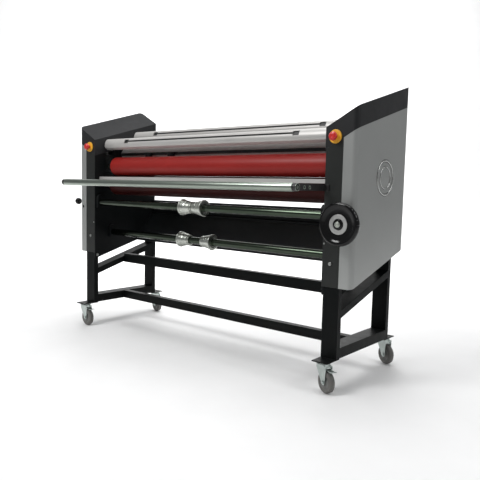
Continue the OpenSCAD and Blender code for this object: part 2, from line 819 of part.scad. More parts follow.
// Where the small end of each chuck stands: upper left, upper right, lower left, lower right
chuck_end = [-5, 0, -112, -22];
module chuck_upper_left() { chuck(chuck_end[0] - chuck_l, upper_shaft_y, upper_shaft_z, 1); }
module chuck_upper_right() { chuck(chuck_end[1] + chuck_l, upper_shaft_y, upper_shaft_z, -1); }
module chuck_lower_left() { chuck(chuck_end[2] - chuck_l, lower_shaft_y, lower_shaft_z, 1); }
module chuck_lower_right() { chuck(chuck_end[3] + chuck_l, lower_shaft_y, lower_shaft_z, -1); }

// ---- drive ----

motor_y = 60;
motor_z = 690;
motor_sprocket_r = 24;
roller_sprocket_r = 36;
output_d = 16;
module gear_motor() {
  color([0.3, 0.32, 0.33]) {
    difference() {
      union() {
        translate([-plate_x - 50, motor_y - 50, motor_z - 60]) cube([50, 100, 120]);
        translate([-plate_x - 30, motor_y - 40, motor_z + 60]) cube([30, 20, 10]);
      }
      rod_x(-plate_x - 51, -plate_x - 20, motor_y, motor_z, output_d + 2 * running);
    }
    translate([-plate_x - 25, motor_y, motor_z - 60]) rotate([180, 0, 0]) cylinder(d = 46, h = 70);
  }
}
module motor_sprocket() {
  color(steel) {
    rod_x(-sprocket_x - sprocket_t, -plate_x - 22, motor_y, motor_z, output_d);
    difference() {
      rod_x(-sprocket_x - sprocket_t, -sprocket_x, motor_y, motor_z, 2 * motor_sprocket_r);
      rod_x(-sprocket_x - sprocket_t - 1, -sprocket_x + 1, motor_y, motor_z, output_d - 1);
    }
  }
}

// Chain loop round both sprockets: outer belt outline less inner belt outline
arc_steps = 16;
function arc(x, r, from, to) =
  [for (i = [0 : arc_steps]) let(a = from + (to - from) * i / arc_steps) [x + r * cos(a), r * sin(a)]];
module belt_outline(extra) {
  dy = motor_y - roller_y;
  dz = motor_z - lower_z;
  length = sqrt(dy * dy + dz * dz);
  lap = acos((roller_sprocket_r - motor_sprocket_r) / length);
  translate([roller_y, lower_z]) rotate(atan2(dz, dy))
    polygon(concat(arc(0, roller_sprocket_r + extra, lap, 360 - lap),
      arc(length, motor_sprocket_r + extra, -lap, lap)));
}
module drive_chain() {
  color([0.3, 0.3, 0.3]) prism_x(-sprocket_x - sprocket_t, -sprocket_x)
    difference() {
      belt_outline(8);
      belt_outline(0.6);
    }
}

module control_box() {
  color([0.5, 0.52, 0.53]) difference() {
    translate([plate_x, -20, 780]) cube([90, 200, 260]);
    translate([plate_x + 2, -18, 782]) cube([90, 196, 256]);
  }
}

inlet_x = column_x + 24;
inlet_z = 760;
inlet_w = 48;
inlet_h = 58;
module power_inlet() {
  color([0.05, 0.05, 0.05]) difference() {
    union() {
      translate([inlet_x - inlet_w / 2 + 0.5, head_back - 34, inlet_z - inlet_h / 2 + 0.5])
        cube([inlet_w - 1, 34, inlet_h - 1]);
      translate([inlet_x - inlet_w / 2 - 3, head_back, inlet_z - inlet_h / 2 - 3])
        cube([inlet_w + 6, 2.5, inlet_h + 6]);
    }
    translate([inlet_x - 13, head_back - 20, inlet_z - 22]) cube([26, 24, 18]);
  }
}

machine() stand_left();
machine() stand_right();
machine() lower_stretcher();
machine() upper_stretcher();
machine() frame_bolts();
machine() castor_fork_fl();
machine() castor_fork_fr();
machine() castor_fork_rl();
machine() castor_fork_rr();
machine() castor_wheel_fl();
machine() castor_wheel_fr();
machine() castor_wheel_rl();
machine() castor_wheel_rr();
machine() brake_pedal_fl();
machine() brake_pedal_fr();
machine() side_plate_left();
machine() side_plate_right();
machine() column_left();
machine() column_right();
machine() side_cover_left();
machine() side_cover_right();
machine() top_cap_left();
machine() top_cap_right();
machine() estop_bases();
machine() estop_button_left();
machine() estop_button_right();
machine() belly_panel();
machine() feed_table();
machine() front_guard();
machine() rear_guard();
machine() tie_bars();
machine() front_bar();
machine() front_arms();
machine() upper_roller_core();
machine() upper_roller_cover();
machine() lower_roller_core();
machine() lower_roller_cover();
machine() upper_bearing_blocks();
machine() lower_bearing_blocks();
machine() lift_screw_left();
machine() lift_screw_right();
machine() cross_shaft();
machine() riser_shaft();
machine() handwheel();
machine() handwheel_shaft();
machine() upper_supply_shaft();
machine() lower_supply_shaft();
machine() chuck_upper_left();
machine() chuck_upper_right();
machine() chuck_lower_left();
machine() chuck_lower_right();
machine() shaft_saddles();
machine() brake_knob();
machine() gear_motor();
machine() motor_sprocket();
machine() drive_chain();
machine() control_box();
machine() power_inlet();
machine() slitter_left();
machine() slitter_right();
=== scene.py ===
import json
import math

import bmesh
import bpy
import numpy as np
from mathutils import Matrix, Vector


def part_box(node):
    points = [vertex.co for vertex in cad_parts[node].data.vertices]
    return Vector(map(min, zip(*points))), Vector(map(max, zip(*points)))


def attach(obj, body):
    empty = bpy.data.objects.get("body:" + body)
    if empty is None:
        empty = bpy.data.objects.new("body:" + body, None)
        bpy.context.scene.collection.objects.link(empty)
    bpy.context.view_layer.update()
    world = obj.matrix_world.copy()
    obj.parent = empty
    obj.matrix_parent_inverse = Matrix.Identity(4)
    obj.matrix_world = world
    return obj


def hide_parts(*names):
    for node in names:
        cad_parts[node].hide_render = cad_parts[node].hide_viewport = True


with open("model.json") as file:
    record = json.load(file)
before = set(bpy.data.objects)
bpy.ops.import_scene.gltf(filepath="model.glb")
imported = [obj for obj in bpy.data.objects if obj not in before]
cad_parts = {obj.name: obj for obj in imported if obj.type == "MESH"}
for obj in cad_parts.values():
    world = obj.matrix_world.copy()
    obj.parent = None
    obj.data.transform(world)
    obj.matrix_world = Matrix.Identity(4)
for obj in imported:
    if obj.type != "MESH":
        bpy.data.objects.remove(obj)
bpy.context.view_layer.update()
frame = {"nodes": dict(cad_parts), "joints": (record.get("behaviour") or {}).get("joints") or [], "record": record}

# ---------------------------------------------------------------- room
# A plain pale floor that turns up into a bright backdrop far behind the machine, a large soft light high in
# front, one at the right, one overhead and one that only serves the backdrop, and a faint even surround.
def swept(name, along, across, material):
    """Open surface point(i, j) = along[i] + across[j]: one profile carried along a straight line."""
    grid = along[:, None, :] + across[None, :, :]
    rows, columns = grid.shape[:2]
    index = np.arange(rows * columns).reshape(rows, columns)
    quads = np.stack([index[:-1, :-1], index[:-1, 1:], index[1:, 1:], index[1:, :-1]], axis=-1)
    mesh = bpy.data.meshes.new(name)
    mesh.from_pydata(grid.reshape(-1, 3).tolist(), [], quads.reshape(-1, 4).tolist())
    piece = bpy.data.objects.new(name, mesh)
    bpy.context.scene.collection.objects.link(piece)
    mesh.materials.append(material)
    mesh.polygons.foreach_set("use_smooth", [True] * len(mesh.polygons))
    return piece


def texture_space(tree, stretch=(1.0, 1.0, 1.0)):
    """Object coordinates, stretched per axis so that a pattern can run along a piece."""
    coordinates = tree.nodes.new("ShaderNodeTexCoord")
    mapping = tree.nodes.new("ShaderNodeMapping")
    mapping.inputs["Scale"].default_value = stretch
    tree.links.new(coordinates.outputs["Object"], mapping.inputs["Vector"])
    return mapping.outputs["Vector"]


def noise(tree, vector, scale, detail=3.0, roughness=0.55):
    """Soft random field on the given coordinates, scale in waves per metre."""
    node = tree.nodes.new("ShaderNodeTexNoise")
    node.inputs["Scale"].default_value = scale
    node.inputs["Detail"].default_value = detail
    node.inputs["Roughness"].default_value = roughness
    tree.links.new(vector, node.inputs["Vector"])
    return node.outputs["Fac"]


def spread(tree, value, low, high, start=0.3, end=0.7):
    """Value carried from start..end to low..high, clamped."""
    node = tree.nodes.new("ShaderNodeMapRange")
    node.inputs["From Min"].default_value = start
    node.inputs["From Max"].default_value = end
    node.inputs["To Min"].default_value = low
    node.inputs["To Max"].default_value = high
    tree.links.new(value, node.inputs["Value"])
    return node.outputs["Result"]


def blend_colour(tree, factor, first, second):
    """Colour between two others by a factor."""
    node = tree.nodes.new("ShaderNodeMix")
    node.data_type = "RGBA"
    tree.links.new(factor, node.inputs[0])
    for socket, colour in ((node.inputs[6], first), (node.inputs[7], second)):
        if hasattr(colour, "links"):
            tree.links.new(colour, socket)
        else:
            socket.default_value = (*colour, 1.0)
    return node.outputs[2]


def surface(name, dark, light, rough, metallic=0.0, specular=0.5, patch=3.0, grain=400.0, stretch=(1, 1, 1),
            relief=0.05, depth=0.0002, coat=0.0, coat_rough=0.2, dust=None):
    """A finish: colour drifts between dark and light in patches, and roughness between its two values by
    0.4 parts grain and 0.6 parts wear. The grain also stands out as relief of the given depth in metres.
    Dust is (level, tint, amount): the tint grows from none at that height to the amount at the floor."""
    material = bpy.data.materials.new(name)
    material.use_nodes = True
    tree = material.node_tree
    shader = tree.nodes["Principled BSDF"]
    shader.inputs["Metallic"].default_value = metallic
    shader.inputs["Specular IOR Level"].default_value = specular
    shader.inputs["Coat Weight"].default_value = coat
    shader.inputs["Coat Roughness"].default_value = coat_rough
    even = texture_space(tree)
    drawn = texture_space(tree, stretch)
    patches = spread(tree, noise(tree, even, patch, 4.0), 0.0, 1.0)
    colour = blend_colour(tree, patches, dark, light)
    if dust:
        level, tint, amount = dust
        split = tree.nodes.new("ShaderNodeSeparateXYZ")
        tree.links.new(even, split.inputs["Vector"])
        low = spread(tree, split.outputs["Z"], amount, 0.0, 0.0, level)
        colour = blend_colour(tree, low, colour, tint)
    tree.links.new(colour, shader.inputs["Base Color"])
    fine = noise(tree, drawn, grain, 3.0)
    wear = noise(tree, even, patch * 6.0, 5.0, 0.6)
    wear_part = tree.nodes.new("ShaderNodeMath")
    wear_part.operation = "MULTIPLY"
    wear_part.inputs[1].default_value = 0.6
    tree.links.new(wear, wear_part.inputs[0])
    use = tree.nodes.new("ShaderNodeMath")
    use.operation = "MULTIPLY_ADD"
    use.inputs[1].default_value = 0.4
    tree.links.new(fine, use.inputs[0])
    tree.links.new(wear_part.outputs[0], use.inputs[2])
    tree.links.new(spread(tree, use.outputs[0], *rough), shader.inputs["Roughness"])
    bump = tree.nodes.new("ShaderNodeBump")
    bump.inputs["Strength"].default_value = relief
    bump.inputs["Distance"].default_value = depth
    tree.links.new(fine, bump.inputs["Height"])
    tree.links.new(bump.outputs["Normal"], shader.inputs["Normal"])
    return material


floor_finish = surface("pale_floor", (0.80, 0.80, 0.80), (0.83, 0.83, 0.83), (0.55, 0.7), grain=60.0)
floor_front = -6.0
floor_back = 6.0
floor_half_width = 14.0
backdrop_bend = 2.0
backdrop_top = 9.0
bend = np.linspace(0.0, math.pi / 2, 24)
bend_y = floor_back + backdrop_bend * np.sin(bend)
bend_z = backdrop_bend - backdrop_bend * np.cos(bend)
floor_profile = np.concatenate([
    [[0.0, floor_front, 0.0]],
    np.stack([0 * bend, bend_y, bend_z], axis=1),
    [[0.0, floor_back + backdrop_bend, backdrop_top]],
])
backdrop_turn = math.radians(39.67)
cos_turn = math.cos(backdrop_turn)
sin_turn = math.sin(backdrop_turn)
turned = np.array([[cos_turn, sin_turn, 0.0], [-sin_turn, cos_turn, 0.0], [0.0, 0.0, 1.0]])
floor_width = np.array([[-floor_half_width, 0.0, 0.0], [floor_half_width, 0.0, 0.0]])
floor = swept("floor", floor_width @ turned, floor_profile @ turned, floor_finish)

surround = bpy.data.worlds.new("surround")
bpy.context.scene.world = surround
surround.use_nodes = True
background = surround.node_tree.nodes["Background"]
background.inputs["Color"].default_value = (0.97, 0.985, 1.0, 1.0)
background.inputs["Strength"].default_value = 0.24


def soft_light(name, place, aim, size, power):
    """Square area light of the given size in metres and power in watts, at place and facing aim."""
    data = bpy.data.lights.new(name, "AREA")
    data.shape = "SQUARE"
    data.size = size
    data.energy = power
    lamp = bpy.data.objects.new(name, data)
    bpy.context.scene.collection.objects.link(lamp)
    lamp.location = place
    lamp.rotation_euler = (Vector(aim) - Vector(place)).to_track_quat("-Z", "Y").to_euler()


soft_light("front_light", (-1.2, -3.6, 4.2), (0.0, 0.0, 0.9), 1.8, 150)
soft_light("side_light", (3.9, 0.6, 3.3), (0.9, 0.0, 1.2), 1.6, 44)
soft_light("top_light", (0.2, 0.5, 4.2), (0.0, 0.0, 0.6), 2.6, 120)
soft_light("backdrop_light", (-2.0, 2.6, 4.6), (-4.6, 5.6, 1.6), 4.0, 620)

bpy.context.scene.view_settings.view_transform = "Standard"

camera_data = bpy.data.cameras.new("camera")
camera = bpy.data.objects.new("camera", camera_data)
bpy.context.scene.collection.objects.link(camera)
bpy.context.scene.camera = camera
camera_data.sensor_width = 36.0
camera_data.lens = 43.22
camera_data.clip_end = 60.0
camera_place = (2.16925, -2.35053, 0.89096)
yaw, pitch, roll = (math.radians(angle) for angle in (39.6746, 5.3384, 1.3050))
ahead = Vector((-math.sin(yaw) * math.cos(pitch), math.cos(yaw) * math.cos(pitch), -math.sin(pitch)))
level_right = Vector((math.cos(yaw), math.sin(yaw), 0.0))
level_up = level_right.cross(ahead)
view_right = level_right * math.cos(roll) + level_up * math.sin(roll)
view_up = level_up * math.cos(roll) - level_right * math.sin(roll)
facing = Matrix((view_right, view_up, -ahead)).transposed().to_4x4()
camera.matrix_world = Matrix.Translation(camera_place) @ facing

# ---------------------------------------------------------------- welded stand
# Two side frames of black powder-coated tube with a flat plate under each end, joined by two long
# stretchers. The edges of the tube are slightly rounded, as drawn tube is.
bodies = frame["record"]["behaviour"]["bodies"]
body_of_node = {node: body for body, nodes in bodies.items() for node in nodes}


def finished(name, mesh, material, node, replaced=()):
    """Links a mesh as a piece, gives it its finish and the node's body, and lets it stand for CAD nodes."""
    piece = bpy.data.objects.new(name, mesh)
    bpy.context.scene.collection.objects.link(piece)
    mesh.materials.clear()
    mesh.materials.append(material)
    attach(piece, body_of_node[node])
    if replaced:
        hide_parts(*replaced)
    return piece


def sharpen(shape, angle):
    """Every face is shaded smooth, and every edge that turns more than the angle stays a hard edge."""
    for face in shape.faces:
        face.smooth = True
    for edge in shape.edges:
        edge.smooth = len(edge.link_faces) != 2 or edge.calc_face_angle(0.0) < angle


def eased(node, material, width=0.0012, steps=2, angle=35.0):
    """Copy of a CAD node, its triangles joined into whole faces, and every edge that turns more than the
    angle in degrees rounded to the width in metres."""
    shape = bmesh.new()
    shape.from_mesh(frame["nodes"][node].data)
    bmesh.ops.remove_doubles(shape, verts=shape.verts, dist=2e-6)
    bmesh.ops.dissolve_limit(shape, angle_limit=math.radians(0.6), verts=shape.verts, edges=shape.edges)
    sharpen(shape, math.radians(angle))
    mesh = bpy.data.meshes.new(node + "_finished")
    shape.to_mesh(mesh)
    shape.free()
    piece = finished(node + "_finished", mesh, material, node, replaced=(node,))
    rounding = piece.modifiers.new("rounding", "BEVEL")
    rounding.limit_method = "ANGLE"
    rounding.angle_limit = math.radians(angle)
    rounding.width = width
    rounding.segments = steps
    rounding.use_clamp_overlap = True
    rounding.harden_normals = True
    return piece


black_coat = surface("black_powder_coat", (0.0024, 0.0034, 0.0034), (0.0042, 0.0052, 0.0052), (0.36, 0.50),
                     specular=0.08, patch=5.0, grain=900.0, relief=0.25, depth=0.0002,
                     dust=(0.45, (0.016, 0.016, 0.015), 0.3))
for node in ("stand_left", "stand_right", "lower_stretcher", "upper_stretcher"):
    eased(node, black_coat, 0.0025, 3)

# ---------------------------------------------------------------- castors
# Zinc-plated pressed forks on a ball-raced head. The grey moulded wheels have a crowned tread, a stepped
# web and a lighter hub; the front two carry a pressed brake pedal.
def turned_shape(name, profile, centre, axis, steps=96, lobes=None):
    """Closed solid of revolution: point(a, t) = centre + axis * h(a) + r(a) * (e1 cos t + e2 sin t), where
    the profile gives h and r in turn, and e1 and e2 stand square to the axis and to each other. With lobes,
    r is multiplied by lobes(a, t)."""
    axis = np.array(axis, float) / np.linalg.norm(axis)
    aside = np.array([0.0, 0.0, 1.0]) if abs(axis[2]) < 0.9 else np.array([1.0, 0.0, 0.0])
    e1 = np.cross(axis, aside)
    e1 /= np.linalg.norm(e1)
    e2 = np.cross(axis, e1)
    profile = np.array(profile, float)
    angles = np.arange(steps) * 2 * math.pi / steps
    h = profile[:, 0][:, None, None]
    r = np.maximum(profile[:, 1], 0.0)[:, None] * np.ones(steps)
    if lobes is not None:
        r = r * lobes(np.arange(len(profile))[:, None], angles[None, :])
    ring = np.cos(angles)[:, None] * e1 + np.sin(angles)[:, None] * e2
    grid = np.array(centre) + axis * h + r[:, :, None] * ring[None, :, :]
    rows = len(profile)
    index = np.arange(rows * steps).reshape(rows, steps)
    upper = np.roll(index, -1, axis=0)
    quads = np.stack([index, upper, np.roll(upper, -1, axis=1), np.roll(index, -1, axis=1)], axis=-1)
    mesh = bpy.data.meshes.new(name)
    mesh.from_pydata(grid.reshape(-1, 3).tolist(), [], quads.reshape(-1, 4).tolist())
    shape = bmesh.new()
    shape.from_mesh(mesh)
    bmesh.ops.remove_doubles(shape, verts=shape.verts, dist=1e-6)
    bmesh.ops.dissolve_degenerate(shape, edges=shape.edges, dist=1e-7)
    bmesh.ops.recalc_face_normals(shape, faces=shape.faces)
    sharpen(shape, math.radians(32))
    shape.to_mesh(mesh)
    shape.free()
    return mesh


def turned_piece(name, profile, centre, axis, material, node, steps=96, lobes=None, replaced=()):
    """Solid of revolution linked as a finished piece of the node's body."""
    finished(name, turned_shape(name, profile, centre, axis, steps, lobes), material, node, replaced)


def rounded(points, radius, steps=5):
    """Closed profile with soft corners: each corner P becomes (1 - t)^2 A + 2 t (1 - t) P + t^2 B, where A
    and B lie on its two sides, at the radius from P or at 0.45 of the shorter side if that is less."""
    points = np.array(points, float)
    before = np.roll(points, 1, axis=0) - points
    after = np.roll(points, -1, axis=0) - points
    length_before = np.linalg.norm(before, axis=1)
    length_after = np.linalg.norm(after, axis=1)
    reach = np.minimum(radius, 0.45 * np.minimum(length_before, length_after))
    start = points + before * (reach / length_before)[:, None]
    end = points + after * (reach / length_after)[:, None]
    t = np.linspace(0, 1, steps)[None, :, None]
    curve = (1 - t) ** 2 * start[:, None] + 2 * t * (1 - t) * points[:, None] + t ** 2 * end[:, None]
    return curve.reshape(-1, 2)


zinc = surface("zinc_plate", (0.42, 0.47, 0.45), (0.56, 0.61, 0.59), (0.24, 0.42), metallic=1.0, patch=30.0,
               grain=300.0, relief=0.1)
tyre_rubber = surface("tyre_rubber", (0.085, 0.083, 0.078), (0.125, 0.122, 0.115), (0.55, 0.75),
                      specular=0.35, patch=18.0, grain=500.0, relief=0.35,
                      dust=(0.10, (0.20, 0.19, 0.18), 0.5))
hub_plastic = surface("hub_plastic", (0.13, 0.13, 0.125), (0.18, 0.18, 0.172), (0.4, 0.55), patch=25.0,
                      grain=600.0, relief=0.2)
tread = rounded([(-0.0140, 0.034), (-0.0138, 0.0445), (-0.0100, 0.0490), (-0.004, 0.0499), (0.004, 0.0499),
                 (0.0100, 0.0490), (0.0138, 0.0445), (0.0140, 0.034), (0.0122, 0.0325), (0.0, 0.0318),
                 (-0.0122, 0.0325)], 0.004)
web = rounded([(-0.0148, 0.0045), (-0.0148, 0.0115), (-0.0100, 0.0135), (-0.0075, 0.019), (-0.0085, 0.0265),
               (-0.0128, 0.0300), (-0.0126, 0.0327), (0.0126, 0.0327), (0.0128, 0.0300), (0.0085, 0.0265),
               (0.0075, 0.019), (0.0100, 0.0135), (0.0148, 0.0115), (0.0148, 0.0045)], 0.002)
joint_of = {joint["name"]: joint for joint in frame["joints"]}
for corner in ("fl", "fr", "rl", "rr"):
    eased("castor_fork_" + corner, zinc, 0.0008)
    spin_joint = joint_of["wheel_spin_" + corner]
    middle, axle = spin_joint["pos_m"], spin_joint["axis"]
    node = "castor_wheel_" + corner
    turned_piece(node + "_tyre", tread, middle, axle, tyre_rubber, node, replaced=(node,))
    turned_piece(node + "_hub", web, middle, axle, hub_plastic, node)
for corner in ("fl", "fr"):
    eased("brake_pedal_" + corner, zinc, 0.0007)

# ---------------------------------------------------------------- side housings
# Thick side plates inside, folded black columns in front, silver metallic covers with two raised rings outside,
# the rings painted lighter as painted highlight and set on thin dark discs of painted shade, and black caps on
# top.
# All sheet edges are deburred and powder-coated or sprayed.
satin_black = surface("satin_black_coat", (0.0120, 0.0135, 0.0125), (0.0165, 0.0180, 0.0170), (0.36, 0.48),
                      specular=0.30, patch=4.0, grain=1100.0, relief=0.2, depth=0.0002)
cap_black = surface("cap_black_coat", (0.0110, 0.0113, 0.0125), (0.0150, 0.0153, 0.0165), (0.36, 0.48),
                    specular=0.34, patch=4.0, grain=1200.0, relief=0.22, depth=0.0002)
inner_black = surface("inner_black_coat", (0.0030, 0.0038, 0.0042), (0.0046, 0.0056, 0.0060), (0.42, 0.55),
                      specular=0.16, patch=5.0, grain=900.0, relief=0.2)
silver_coat = surface("silver_metallic_coat", (0.335, 0.344, 0.336), (0.362, 0.371, 0.363), (0.33, 0.41),
                      metallic=0.55, specular=0.5, patch=2.2, grain=1500.0, relief=0.12, depth=0.00015,
                      coat=0.15, coat_rough=0.25)
# Painted highlight: the raised rings are of the cover's own silver, painted lighter here.
emblem_painted_highlight = surface("emblem_painted_highlight", (0.46, 0.47, 0.455), (0.52, 0.53, 0.515), (0.22, 0.30), metallic=0.8,
                        patch=30.0, grain=900.0, relief=0.06)
# Painted shade: dark paint for the thin discs round the raised rings.
emblem_painted_shade = surface("emblem_painted_shade", (0.12, 0.122, 0.118), (0.15, 0.152, 0.148), (0.40, 0.50), metallic=0.5,
                      patch=30.0, grain=900.0, relief=0.06)
# The line that the machine's depths are measured from lies this far behind the origin
depth_shift = 0.08575
emblem_y = 0.015 + depth_shift
emblem_z = 0.943
cover_ring_height = 0.0015
# Part, inner radius, outer radius, height and finish of each ring; the thin dark discs are painted shade at the
# feet of the raised rings.
emblem_rings = (("outer_ring", 0.0735, 0.0815, 0.0040, emblem_painted_highlight),
                ("outer_shade_disc", 0.0700, 0.0850, 0.0004, emblem_painted_shade),
                ("inner_ring", 0.0475, 0.0525, 0.0030, emblem_painted_highlight),
                ("inner_shade_disc", 0.0455, 0.0545, 0.0004, emblem_painted_shade))
for side, outward, outer_face in (("left", -1.0, 0), ("right", 1.0, 1)):
    cover = "side_cover_" + side
    eased("side_plate_" + side, inner_black, 0.0010)
    eased("column_" + side, satin_black, 0.0020, 3)
    eased(cover, silver_coat, 0.0010)
    eased("top_cap_" + side, cap_black, 0.0030, 4)
    emblem_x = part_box(cover)[outer_face][0] - outward * cover_ring_height
    for part, inner_r, outer_r, height, finish in emblem_rings:
        bead = rounded([(0.0, inner_r), (height * 0.7, inner_r + 0.0006), (height, (inner_r + outer_r) / 2),
                        (height * 0.7, outer_r - 0.0006), (0.0, outer_r)], 0.003)
        turned_piece("emblem_" + part + "_" + side, bead, (emblem_x, emblem_y, emblem_z), (outward, 0, 0),
                     finish, cover, 160)

# ---------------------------------------------------------------- emergency stops
# Yellow moulded collars screwed into the caps, with red mushroom heads that push in and turn to release. Each
# head is fluted for the fingers.
yellow = surface("yellow_collar", (0.78, 0.40, 0.030), (0.86, 0.46, 0.04), (0.35, 0.45), patch=40.0,
                 grain=700.0, relief=0.15)
red = surface("red_mushroom", (0.52, 0.012, 0.011), (0.60, 0.018, 0.016), (0.26, 0.36), patch=60.0,
              grain=700.0, relief=0.12, coat=0.25, coat_rough=0.15)
dark_insert = surface("dark_insert", (0.010, 0.010, 0.010), (0.016, 0.016, 0.016), (0.35, 0.5), patch=40.0,
                      grain=800.0, relief=0.15)


def box_of(node):
    """Low corner, high corner and middle of a CAD node's box."""
    low, high = (np.array(corner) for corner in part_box(node))
    return low, high, (low + high) / 2


def flutes(row, angle):
    """Twelve shallow flutes round the middle rows of the head: 1 + 0.022 cos 12 t there, and 1 elsewhere."""
    return 1.0 + 0.022 * np.cos(12 * angle) * (np.abs(row - 27) < 10)


eased("estop_bases", yellow, 0.0012, 3)
head = rounded([(0.0012, 0.0), (0.0006, 0.007), (0.0, 0.009), (0.0010, 0.0140), (0.0045, 0.0178),
                (0.0095, 0.0198), (0.0140, 0.0190), (0.0170, 0.0135), (0.0228, 0.0120), (0.0235, 0.0080),
                (0.0640, 0.0080), (0.0650, 0.0070), (0.0650, 0.0)], 0.003)
for node in ("estop_button_left", "estop_button_right"):
    low, _, middle = box_of(node)
    middle[1] = low[1]
    turned_piece(node + "_head", head, middle, (0, 1, 0), red, node, lobes=flutes, replaced=(node,))

# ---------------------------------------------------------------- panels, table and guards
# The belly panel is folded black sheet. The table lip and the two guards are satin anodised aluminium, drawn
# along the machine, and each guard has a long slot with a dark liner for a hand cutter.
anodised = surface("anodised_sheet", (0.44, 0.43, 0.415), (0.50, 0.49, 0.475), (0.36, 0.48), metallic=0.35,
                   patch=3.0, grain=420.0, stretch=(0.012, 1.0, 1.0), relief=0.12, depth=0.0001)
eased("belly_panel", inner_black, 0.0012)
for node in ("feed_table", "front_guard", "rear_guard"):
    eased(node, anodised, 0.0009)


# The middle between the side plates lies this far to the right of the origin
side_shift = 0.00975


def slab(name, node, material, half_length, corners):
    """Closed prism along X: point(i, j) = (end i, y and z of corner j), with its two ends at the half length
    to the left and right of the middle between the side plates, and each end closed by one face."""
    count = len(corners)
    ends_x = np.repeat([side_shift - half_length, side_shift + half_length], count)
    points = np.column_stack([ends_x, np.tile(corners, (2, 1))])
    near = np.arange(count)
    far = near + count
    sides = np.stack([near, np.roll(near, -1), np.roll(far, -1), far], axis=1)
    mesh = bpy.data.meshes.new(name)
    mesh.from_pydata(points.tolist(), [], [near[::-1].tolist(), far.tolist()] + sides.tolist())
    shape = bmesh.new()
    shape.from_mesh(mesh)
    bmesh.ops.recalc_face_normals(shape, faces=shape.faces)
    shape.to_mesh(mesh)
    shape.free()
    finished(name, mesh, material, node)


# The slot's middle lies behind and above the guard's nose, and the liner's corners lie round that middle
slot_behind_nose = 0.0136
slot_above_nose = 0.0198
liner_half_length = 0.634
liner_section = np.array([(-0.0065, -0.0125), (-0.0045, -0.0133), (0.0065, 0.0122), (0.0045, 0.0130)])
for node, nose_y, nose_z in (("front_guard", -0.190, 1.121), ("rear_guard", 0.042, 1.18485)):
    slot_middle = (nose_y + depth_shift + slot_behind_nose, nose_z + slot_above_nose)
    slab(node + "_liner", node, dark_insert, liner_half_length, liner_section + slot_middle)

# ---------------------------------------------------------------- bars, rollers and shafts
# Ground steel tube for the idler bar and oiled steel for the supply shafts in their black saddles. The
# rollers are steel cores under ground red silicone sleeves; the lower sleeve is painted much darker, as painted
# shade under the feed table. The slitter rail is drawn alloy, painted lighter than the guards as painted light in
# the guard's shadow, with a thin dark strip of painted shade on its front face.
ground_steel = surface("ground_steel", (0.27, 0.31, 0.27), (0.31, 0.35, 0.305), (0.27, 0.33), metallic=1.0,
                       patch=5.0, grain=1500.0, stretch=(1.0, 0.05, 0.05), relief=0.02, depth=0.0001)
shaft_steel = surface("oiled_shaft_steel", (0.046, 0.060, 0.044), (0.062, 0.078, 0.058), (0.17, 0.23),
                      metallic=1.0, patch=4.0, grain=1500.0, stretch=(1.0, 0.05, 0.05), relief=0.02,
                      depth=0.0001)
silicone = surface("red_silicone", (0.245, 0.0110, 0.0085), (0.275, 0.0135, 0.0105), (0.36, 0.48),
                   specular=0.28, patch=6.0, grain=350.0, stretch=(0.3, 1.0, 1.0), relief=0.08, depth=0.0001)
# Painted shade: the same silicone painted much darker, for the lower roller in the feed table's shadow.
shade_painted_silicone = surface("red_silicone_painted_shade", (0.022, 0.0022, 0.0018), (0.030, 0.0030, 0.0024),
                        (0.40, 0.52), specular=0.12, patch=6.0, grain=350.0, stretch=(0.3, 1.0, 1.0),
                        relief=0.08, depth=0.0001)


def bar(node, material, radius, neck_length, neck):
    """Bar along X from one end of its node's box to the other, with a thinner neck at both ends: r is the
    neck over the neck's length, then the radius."""
    low, high, middle = box_of(node)
    start, end = low[0], high[0]
    first, last = start + neck_length, end - neck_length
    middle[0] = 0.0
    profile = rounded([(start, 0.0), (start, neck), (first, neck), (first, radius),
                       (last, radius), (last, neck), (end, neck), (end, 0.0)], 0.0012, 4)
    turned_piece(node + "_bar", profile, middle, (1, 0, 0), material, node, replaced=(node,))


bar("front_bar", ground_steel, 0.0185, 0.020, 0.007)
for node in ("upper_supply_shaft", "lower_supply_shaft"):
    bar(node, shaft_steel, 0.020, 0.036, 0.010)
for node in ("upper_roller_core", "lower_roller_core"):
    eased(node, ground_steel, 0.0006)
sleeve_wall = 0.010
# The lower sleeve takes the silicone with painted shade.
for node, radius, rubber in (("upper_roller_cover", 0.056, silicone),
                             ("lower_roller_cover", 0.059, shade_painted_silicone)):
    low, high, middle = box_of(node)
    half = (high[0] - low[0]) / 2
    bore = radius - sleeve_wall
    sleeve = rounded([(-half, bore), (-half, radius), (half, radius), (half, bore)], 0.003, 6)
    turned_piece(node + "_sleeve", sleeve, middle, (1, 0, 0), rubber, node, 160, replaced=(node,))

# Painted light: the tie bars and the slitter rail are painted far lighter than the guards' alloy, so the rail
# stands bright in the guard's shadow.
rail_painted_light_alloy = surface("rail_painted_light_alloy", (0.70, 0.69, 0.67), (0.76, 0.75, 0.73), (0.34, 0.46), metallic=0.25,
                     patch=4.0, grain=420.0, stretch=(0.012, 1.0, 1.0), relief=0.08, depth=0.0001)
eased("tie_bars", rail_painted_light_alloy, 0.0008)
rail_y = -0.052 + depth_shift
# The strip is a thin dark sheet on the rail's front face: painted shade below its lit slanted top.
strip_half_length = 0.824
strip_low = 1.0665
strip_high = 1.0835
strip_front = rail_y - 0.0003
slab("rail_painted_shade_strip", "tie_bars", dark_insert, strip_half_length,
     [(strip_front, strip_low), (rail_y, strip_low), (rail_y, strip_high), (strip_front, strip_high)])

